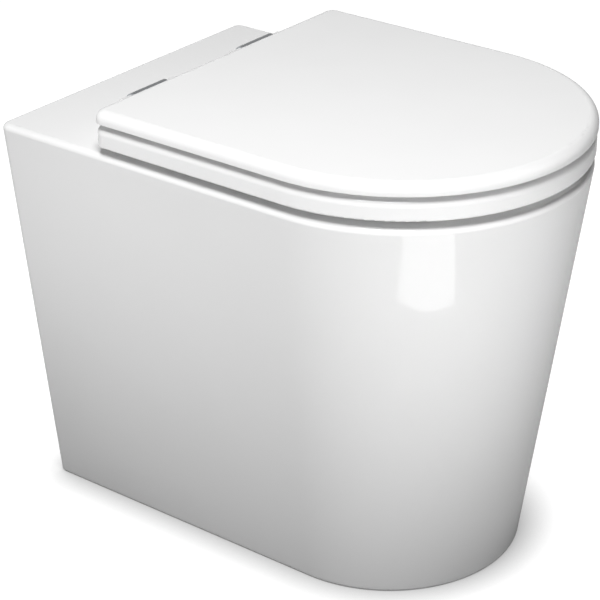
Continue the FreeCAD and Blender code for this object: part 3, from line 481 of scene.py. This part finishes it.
bmesh.ops.remove_doubles(work, verts=work.verts, dist=WELD_DISTANCE)
cutters.append(opening("trap_mouth", work, glazed_china))

collar_back = pan_back - mouth_insets[2]
work = drill(inlet_radius, (0, collar_back - overrun, pan_top - inlet_drop),
             (0, collar_back + bowl_wall + overrun, pan_top - inlet_drop))
cutters.append(opening("flush_inlet", work, glazed_china))
for side in (-1, 1):
    work = drill(hinge_hole_radius, (side * hinge_x, hinge_y, pan_top - deck_thickness - overrun),
                 (side * hinge_x, hinge_y, pan_top + overrun))
    cutters.append(opening("hinge_hole", work, raw_china))
settle(pan)
for cutter in cutters:
    bpy.data.objects.remove(cutter)
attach(pan, "pan")
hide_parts("pan_skirt", "pan_deck", "bowl")


# Trapway, drain spigot and inlet horn
# Bent and turned clay pipes, cast apart and stuck to the bowl before firing. Nobody sees them once
# the pan stands at the wall, so they are left raw outside, and glaze is poured through their bores.
def dress(material, *names):
    """Gives CAD nodes a material."""
    for name in names:
        nodes[name].data.materials.clear()
        nodes[name].data.materials.append(material)


# The pipes' china: raw outside, with the sponge marks of the hollow, and white and glossy inside, as
# far as the pipe's own wall closes round the surface. The cut ends stay raw.
piped_china = raw_china.copy()
piped_china.name = "vitreous_china_raw_with_glazed_bore"
tree = piped_china.node_tree
closed = put(tree, "ShaderNodeAmbientOcclusion", {"Distance": 100 * MM}, only_local=True)
bore = put(tree, "ShaderNodeMapRange", {
    "Value": closed.outputs["AO"], "From Min": 0.6, "From Max": 0.72, "To Min": 1.0, "To Max": 0.0})
chalk = tree.nodes["Principled BSDF"]
glaze = put(tree, "ShaderNodeBsdfPrincipled", {
    "Base Color": linear("#f0f0f0"), "Roughness": 0.02, "IOR": GLAZE_IOR,
    "Normal": grained(tree, glaze_wave, glaze_swell, glaze_ripple)})
lined = put(tree, "ShaderNodeMixShader", {
    0: bore.outputs["Result"], 1: chalk.outputs["BSDF"], 2: glaze.outputs["BSDF"]})
tree.links.new(lined.outputs[0], tree.nodes["Material Output"].inputs["Surface"])
dress(piped_china, "trapway", "outlet_spigot", "inlet_horn")

# Flush cone
# A moulded EPDM sleeve. Its wide end is stretched over the inlet horn and its neck grips the flush
# pipe, so it stays on by its own pull.

# Black EPDM rubber: dull and nearly even, greyed in patches by the talc that frees it from its mould,
# with the mould's fine grain, drawn coarse to show.
black_rubber, tree = new_material("epdm_rubber_moulded_black")
tone, talc = mottled(tree, 14 * MM, "#141414", "#343434", Detail=4.0, Roughness=0.6)
dull = put(tree, "ShaderNodeMapRange", {"Value": talc, "To Min": 0.55, "To Max": 0.8})
rubber = put(tree, "ShaderNodeBsdfPrincipled", {
    "Base Color": tone, "Roughness": dull.outputs["Result"], "IOR": 1.52,
    "Normal": grained(tree, 0.6 * MM, 0.2 * MM, 0.25)})
put(tree, "ShaderNodeOutputMaterial", {"Surface": rubber.outputs["BSDF"]})
dress(black_rubber, "flush_cone")

# Hinge fixings
# Each hinge stands on a chromed rosette over a rubber gasket. A steel stud runs down through the deck
# into an expanding rubber sleeve, which a nylon nut draws up tight from below.

# Plain steel, turned from bar: grey metal with fine rings round its axis from the tool.
turned_steel, tree = new_material("steel_turned_plain")
tone, wear = mottled(tree, 5 * MM, "#86878a", "#a9aaac", Detail=3.0)
satin = put(tree, "ShaderNodeMapRange", {"Value": wear, "To Min": 0.26, "To Max": 0.42})
space = put(tree, "ShaderNodeTexCoord").outputs["Object"]
rings = put(tree, "ShaderNodeTexWave", {
    "Vector": space, "Scale": 1 / (8 * MM), "Distortion": 0.6}, bands_direction="Z")
tooled = put(tree, "ShaderNodeBump", {
    "Strength": 0.12, "Distance": 0.05 * MM, "Height": rings.outputs["Fac"]})
metal = put(tree, "ShaderNodeBsdfPrincipled", {
    "Base Color": tone, "Metallic": 1.0, "Roughness": satin.outputs["Result"],
    "Normal": tooled.outputs["Normal"]})
put(tree, "ShaderNodeOutputMaterial", {"Surface": metal.outputs["BSDF"]})

# Nylon, injection moulded and left in its natural colour: milky, waxy, with soft flow marks.
nylon, tree = new_material("nylon_moulded_natural")
tone, flow = mottled(tree, 12 * MM, "#d6d2c4", "#e4e1d6", Detail=2.0, Distortion=0.8)
waxy = put(tree, "ShaderNodeMapRange", {"Value": flow, "To Min": 0.36, "To Max": 0.48})
wax = put(tree, "ShaderNodeBsdfPrincipled", {
    "Base Color": tone, "Roughness": waxy.outputs["Result"], "IOR": 1.53,
    "Subsurface Weight": 0.12, "Subsurface Scale": 1 * MM})
put(tree, "ShaderNodeOutputMaterial", {"Surface": wax.outputs["BSDF"]})

# Chrome, plated on polished zinc: a mirror with a cool grey tint and faint hazy patches left by the
# polishing mop. It takes its look from what stands around it.
chrome, tree = new_material("zinc_polished_chrome_plated")
tone, haze = mottled(tree, 6 * MM, "#b2b5b8", "#bdc0c3", Detail=3.0)
gleam = put(tree, "ShaderNodeMapRange", {"Value": haze, "To Min": 0.05, "To Max": 0.14})
mirror = put(tree, "ShaderNodeBsdfPrincipled", {
    "Base Color": tone, "Metallic": 1.0, "Roughness": gleam.outputs["Result"]})
put(tree, "ShaderNodeOutputMaterial", {"Surface": mirror.outputs["BSDF"]})

SIDES = ("left", "right")
for side in SIDES:
    dress(black_rubber, f"hinge_gasket_{side}", f"hinge_sleeve_{side}")
    dress(chrome, f"hinge_rosette_{side}")
    dress(turned_steel, f"hinge_stud_{side}")
    dress(nylon, f"hinge_nut_{side}")

# Hinge blocks, dampers and release buttons
# Two die-cast zinc barrels on pedestals, chromed. Each holds an oil damper in a nylon case, whose steel
# shaft carries the lid or the seat, and a spring-loaded ABS button that frees the block from its stud.

# Grey ABS, moulded in a spark-eroded tool: an even grey with a fine matt grain, drawn coarse to show.
grey_abs, tree = new_material("abs_moulded_matt_grey")
tone, _ = mottled(tree, 7 * MM, "#8b8e90", "#979a9c", Detail=2.0)
plastic = put(tree, "ShaderNodeBsdfPrincipled", {
    "Base Color": tone, "Roughness": 0.48, "IOR": 1.53,
    "Normal": grained(tree, 0.4 * MM, 0.1 * MM, 0.3)})
put(tree, "ShaderNodeOutputMaterial", {"Surface": plastic.outputs["BSDF"]})

for side in SIDES:
    dress(chrome, f"hinge_block_{side}")
    dress(grey_abs, f"release_button_{side}")
dress(nylon, "lid_damper", "seat_damper")
dress(turned_steel, "lid_damper_shaft", "seat_damper_shaft")

# A tree that winds a button's spring from wire.
wound_spring = bpy.data.node_groups.new("wound_spring", "GeometryNodeTree")
for name, kind in (("Start", "Vector"), ("Length", "Float"), ("Turns", "Float"), ("Coil Radius", "Float"),
                   ("Wire Radius", "Float"), ("Finish", "Material")):
    wound_spring.interface.new_socket(name, in_out="INPUT", socket_type="NodeSocket" + kind)
wound_spring.interface.new_socket("Spring", in_out="OUTPUT", socket_type="NodeSocketGeometry")
given = put(wound_spring, "NodeGroupInput").outputs
path = put(wound_spring, "GeometryNodeCurveSpiral", {
    "Resolution": 32, "Rotations": given["Turns"], "Start Radius": given["Coil Radius"],
    "End Radius": given["Coil Radius"], "Height": given["Length"]})
wire = put(wound_spring, "GeometryNodeCurvePrimitiveCircle", {
    "Resolution": 12, "Radius": given["Wire Radius"]})
coil = put(wound_spring, "GeometryNodeCurveToMesh", {
    "Curve": path.outputs[0], "Profile Curve": wire.outputs[0], "Fill Caps": True})
coil = put(wound_spring, "GeometryNodeTransform", {
    "Geometry": coil.outputs[0], "Translation": given["Start"], "Rotation": (0, math.pi / 2, 0)})
coil = put(wound_spring, "GeometryNodeRealizeInstances", {"Geometry": coil.outputs[0]})
coil = put(wound_spring, "GeometryNodeSetMaterial", {
    "Geometry": coil.outputs[0], "Material": given["Finish"]})
put(wound_spring, "NodeGroupOutput", {"Spring": coil.outputs[0]})

spring_turns = 6
wire_radius = 0.25 * MM
for side, fixed_end in zip(SIDES, (0, 1)):
    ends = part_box(f"button_spring_{side}")
    middle, whole = (ends[0] + ends[1]) / 2, ends[1] - ends[0]
    spring = new_object(f"spring_coil_{side}", bpy.data.meshes.new("spring_coil"))
    shape(spring, wound_spring, {
        "Start": (ends[0].x + wire_radius, middle.y, middle.z), "Length": whole.x - 2 * wire_radius,
        "Turns": spring_turns, "Coil Radius": whole.y / 2 - wire_radius, "Wire Radius": wire_radius,
        "Finish": turned_steel})
    settle(spring)
    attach(spring, "pan")
    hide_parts(f"button_spring_{side}")
    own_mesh(spring)

# Seat
# A ring pressed from urea resin, called duroplast: hard, heavy and white right through. It rests on
# four elastomer buffers, and two lugs at its back turn on the inner ends of the hinges.

# Pressed duroplast: polished moulds give a gloss a little softer than the glaze's. Seen close by, the
# surface waves where the thick resin shrank, with a faint peel over it. Its white is the china's.
duroplast, tree = new_material("duroplast_pressed_white_gloss")
tone, sink = mottled(tree, 70 * MM, "#efefef", "#f2f2f2", Detail=1.0)
shine = put(tree, "ShaderNodeMapRange", {"Value": sink, "To Min": 0.1, "To Max": 0.16})
wave = put(tree, "ShaderNodeBump", {"Strength": 0.05, "Distance": 1 * MM, "Height": sink})
resin = put(tree, "ShaderNodeBsdfPrincipled", {
    "Base Color": tone, "Roughness": shine.outputs["Result"], "IOR": 1.54,
    "Normal": grained(tree, 6 * MM, 0.1 * MM, 0.03, Normal=wave.outputs["Normal"])})
put(tree, "ShaderNodeOutputMaterial", {"Surface": resin.outputs["BSDF"]})

# White elastomer, moulded: soft-looking, without gloss, with a little dust held by its surface.
white_elastomer, tree = new_material("elastomer_moulded_white")
tone, dust = mottled(tree, 3 * MM, "#dddcd8", "#e9e8e5", Detail=3.0)
tooth = put(tree, "ShaderNodeBump", {"Strength": 0.15, "Distance": 0.1 * MM, "Height": dust})
soft = put(tree, "ShaderNodeBsdfPrincipled", {
    "Base Color": tone, "Roughness": 0.62, "IOR": 1.48, "Normal": tooth.outputs["Normal"]})
put(tree, "ShaderNodeOutputMaterial", {"Surface": soft.outputs["BSDF"]})

CORNERS = ("front_left", "front_right", "rear_left", "rear_right")
dress(duroplast, "seat")
dress(white_elastomer, *[f"seat_buffer_{corner}" for corner in CORNERS])

# Lid
# A flat duroplast cover with a well-rounded top edge, hollow below but for a rim. Its four buffers land
# on the seat, and its lugs turn on the outer ends of the hinges.
dress(duroplast, "lid")
dress(white_elastomer, *[f"lid_buffer_{corner}" for corner in CORNERS])

# Floor, light and camera
# A white studio floor and room. Both are dimmer in reflections than to the camera, which gives the
# glaze darker edges. One large soft box hangs high on the camera's side, strips of light near the floor
# look up at the skirt, and two fills stand behind.
MIRRORED = 0.4
floor_half = 6
shadow_reach = 45 * MM


def whiteness(tree):
    """How white the studio is to a ray: full to the camera and through glass, less in reflections."""
    ray = put(tree, "ShaderNodeLightPath").outputs
    seen = put(tree, "ShaderNodeMath", {
        0: ray["Is Glossy Ray"], 1: MIRRORED, 2: ray["Is Camera Ray"]}, operation="MULTIPLY_ADD")
    seen = put(tree, "ShaderNodeMath", {
        0: seen.outputs[0], 1: ray["Is Transmission Ray"]}, operation="MAXIMUM")
    return seen.outputs[0]


# Matt grey board glowing white, with a painted shadow round the pan's foot over the real shadow the lamps
# cast on it.
floor_white, tree = new_material("studio_floor_white")
matt = put(tree, "ShaderNodeBsdfDiffuse", {"Color": linear("#767676")})
# Painted shadow: ambient occlusion dims the floor's glow where the pan stands close by.
painted_foot_shadow = put(tree, "ShaderNodeAmbientOcclusion", {"Distance": shadow_reach})
white = put(tree, "ShaderNodeMath", {0: whiteness(tree), 1: painted_foot_shadow.outputs["AO"]}, operation="MULTIPLY")
glow = put(tree, "ShaderNodeEmission", {"Color": linear("#ffffff"), "Strength": white.outputs[0]})
both = put(tree, "ShaderNodeAddShader", {0: matt.outputs[0], 1: glow.outputs[0]})
put(tree, "ShaderNodeOutputMaterial", {"Surface": both.outputs[0]})
mesh = bpy.data.meshes.new("studio_floor")
floor_corners = [(x * floor_half, y * floor_half, 0) for x, y in ((-1, -1), (1, -1), (1, 1), (-1, 1))]
mesh.from_pydata(floor_corners, [], [(0, 1, 2, 3)])
mesh.materials.append(floor_white)
floor = new_object("studio_floor", mesh)

world = bpy.data.worlds.new("studio")
scene.world = world
world.use_nodes = True
tree = world.node_tree
tree.nodes.clear()
sky = put(tree, "ShaderNodeBackground", {"Color": linear("#ffffff"), "Strength": whiteness(tree)})
put(tree, "ShaderNodeOutputWorld", {"Surface": sky.outputs[0]})


def around(turn, reach, height):
    """A place on a circle round the pan: turn in degrees from the front towards the left."""
    turn = math.radians(turn)
    return Vector((-math.sin(turn) * reach, -math.cos(turn) * reach, height))


def look(thing, direction):
    """Turns a lamp or a camera so that it looks in a direction."""
    thing.rotation_euler = direction.to_track_quat("-Z", "Y").to_euler()


def area_lamp(name, size, power, spread=180):
    """A rectangle of light, hidden from the camera. A narrow spread is a grid on its front."""
    light = bpy.data.lights.new(name, "AREA")
    light.shape = "RECTANGLE"
    light.size, light.size_y = size
    light.energy = power
    light.spread = math.radians(spread)
    lamp = new_object(name, light)
    lamp.visible_camera = False
    return lamp


def soft_box(name, turn, reach, height, size, power, aim, spread=180, mirrored=False):
    """A lamp round the pan that looks at a height on its axis, in metres, degrees and watts."""
    box = area_lamp(name, size, power, spread)
    box.location = around(turn, reach, height)
    look(box, Vector((0, 0, aim)) - box.location)
    box.visible_glossy = mirrored


strip = {"reach": 0.85, "height": 0.13, "size": (0.5, 0.22), "aim": 0.58, "spread": 100}
soft_box("top_box", turn=65, reach=0.8, height=2.1, size=(0.8, 0.8), power=42, aim=0.4, mirrored=True)
soft_box("low_side_box", turn=108, power=0.9, **strip)
soft_box("low_front_box", turn=27, power=0.88, **strip)
soft_box("low_right_box", turn=8, power=0.42, **strip)
soft_box("right_fill_box", turn=236, reach=0.9, height=0.35, size=(0.6, 0.5), power=2.4, aim=0.25)
soft_box("back_fill_box", turn=180, reach=1.0, height=0.3, size=(0.6, 0.5), power=2.4, aim=0.2)

# A panel of light on the floor, seen only as the bright patch mirrored in the front of the skirt.
panel = area_lamp("floor_panel", size=(0.31, 0.252), power=0.55)
panel.location = (-0.3975, -0.585, 0.002)
panel.rotation_euler = (math.pi, 0, math.radians(-35.8))
panel.visible_diffuse = False

# The camera stands to the left and above, with a long lens.
camera = new_object("camera", bpy.data.cameras.new("camera"))
camera.data.sensor_width = 36
camera.data.lens = 128.82
camera.data.shift_x, camera.data.shift_y = -0.0824, 0.0204
camera.location = (-1.49476, -1.14773, 1.17542)
camera_turn, camera_rise = 53.01, math.radians(27.09)
look(camera, -around(camera_turn, math.cos(camera_rise), math.sin(camera_rise)))
scene.camera = camera
scene.view_settings.view_transform = "Standard"
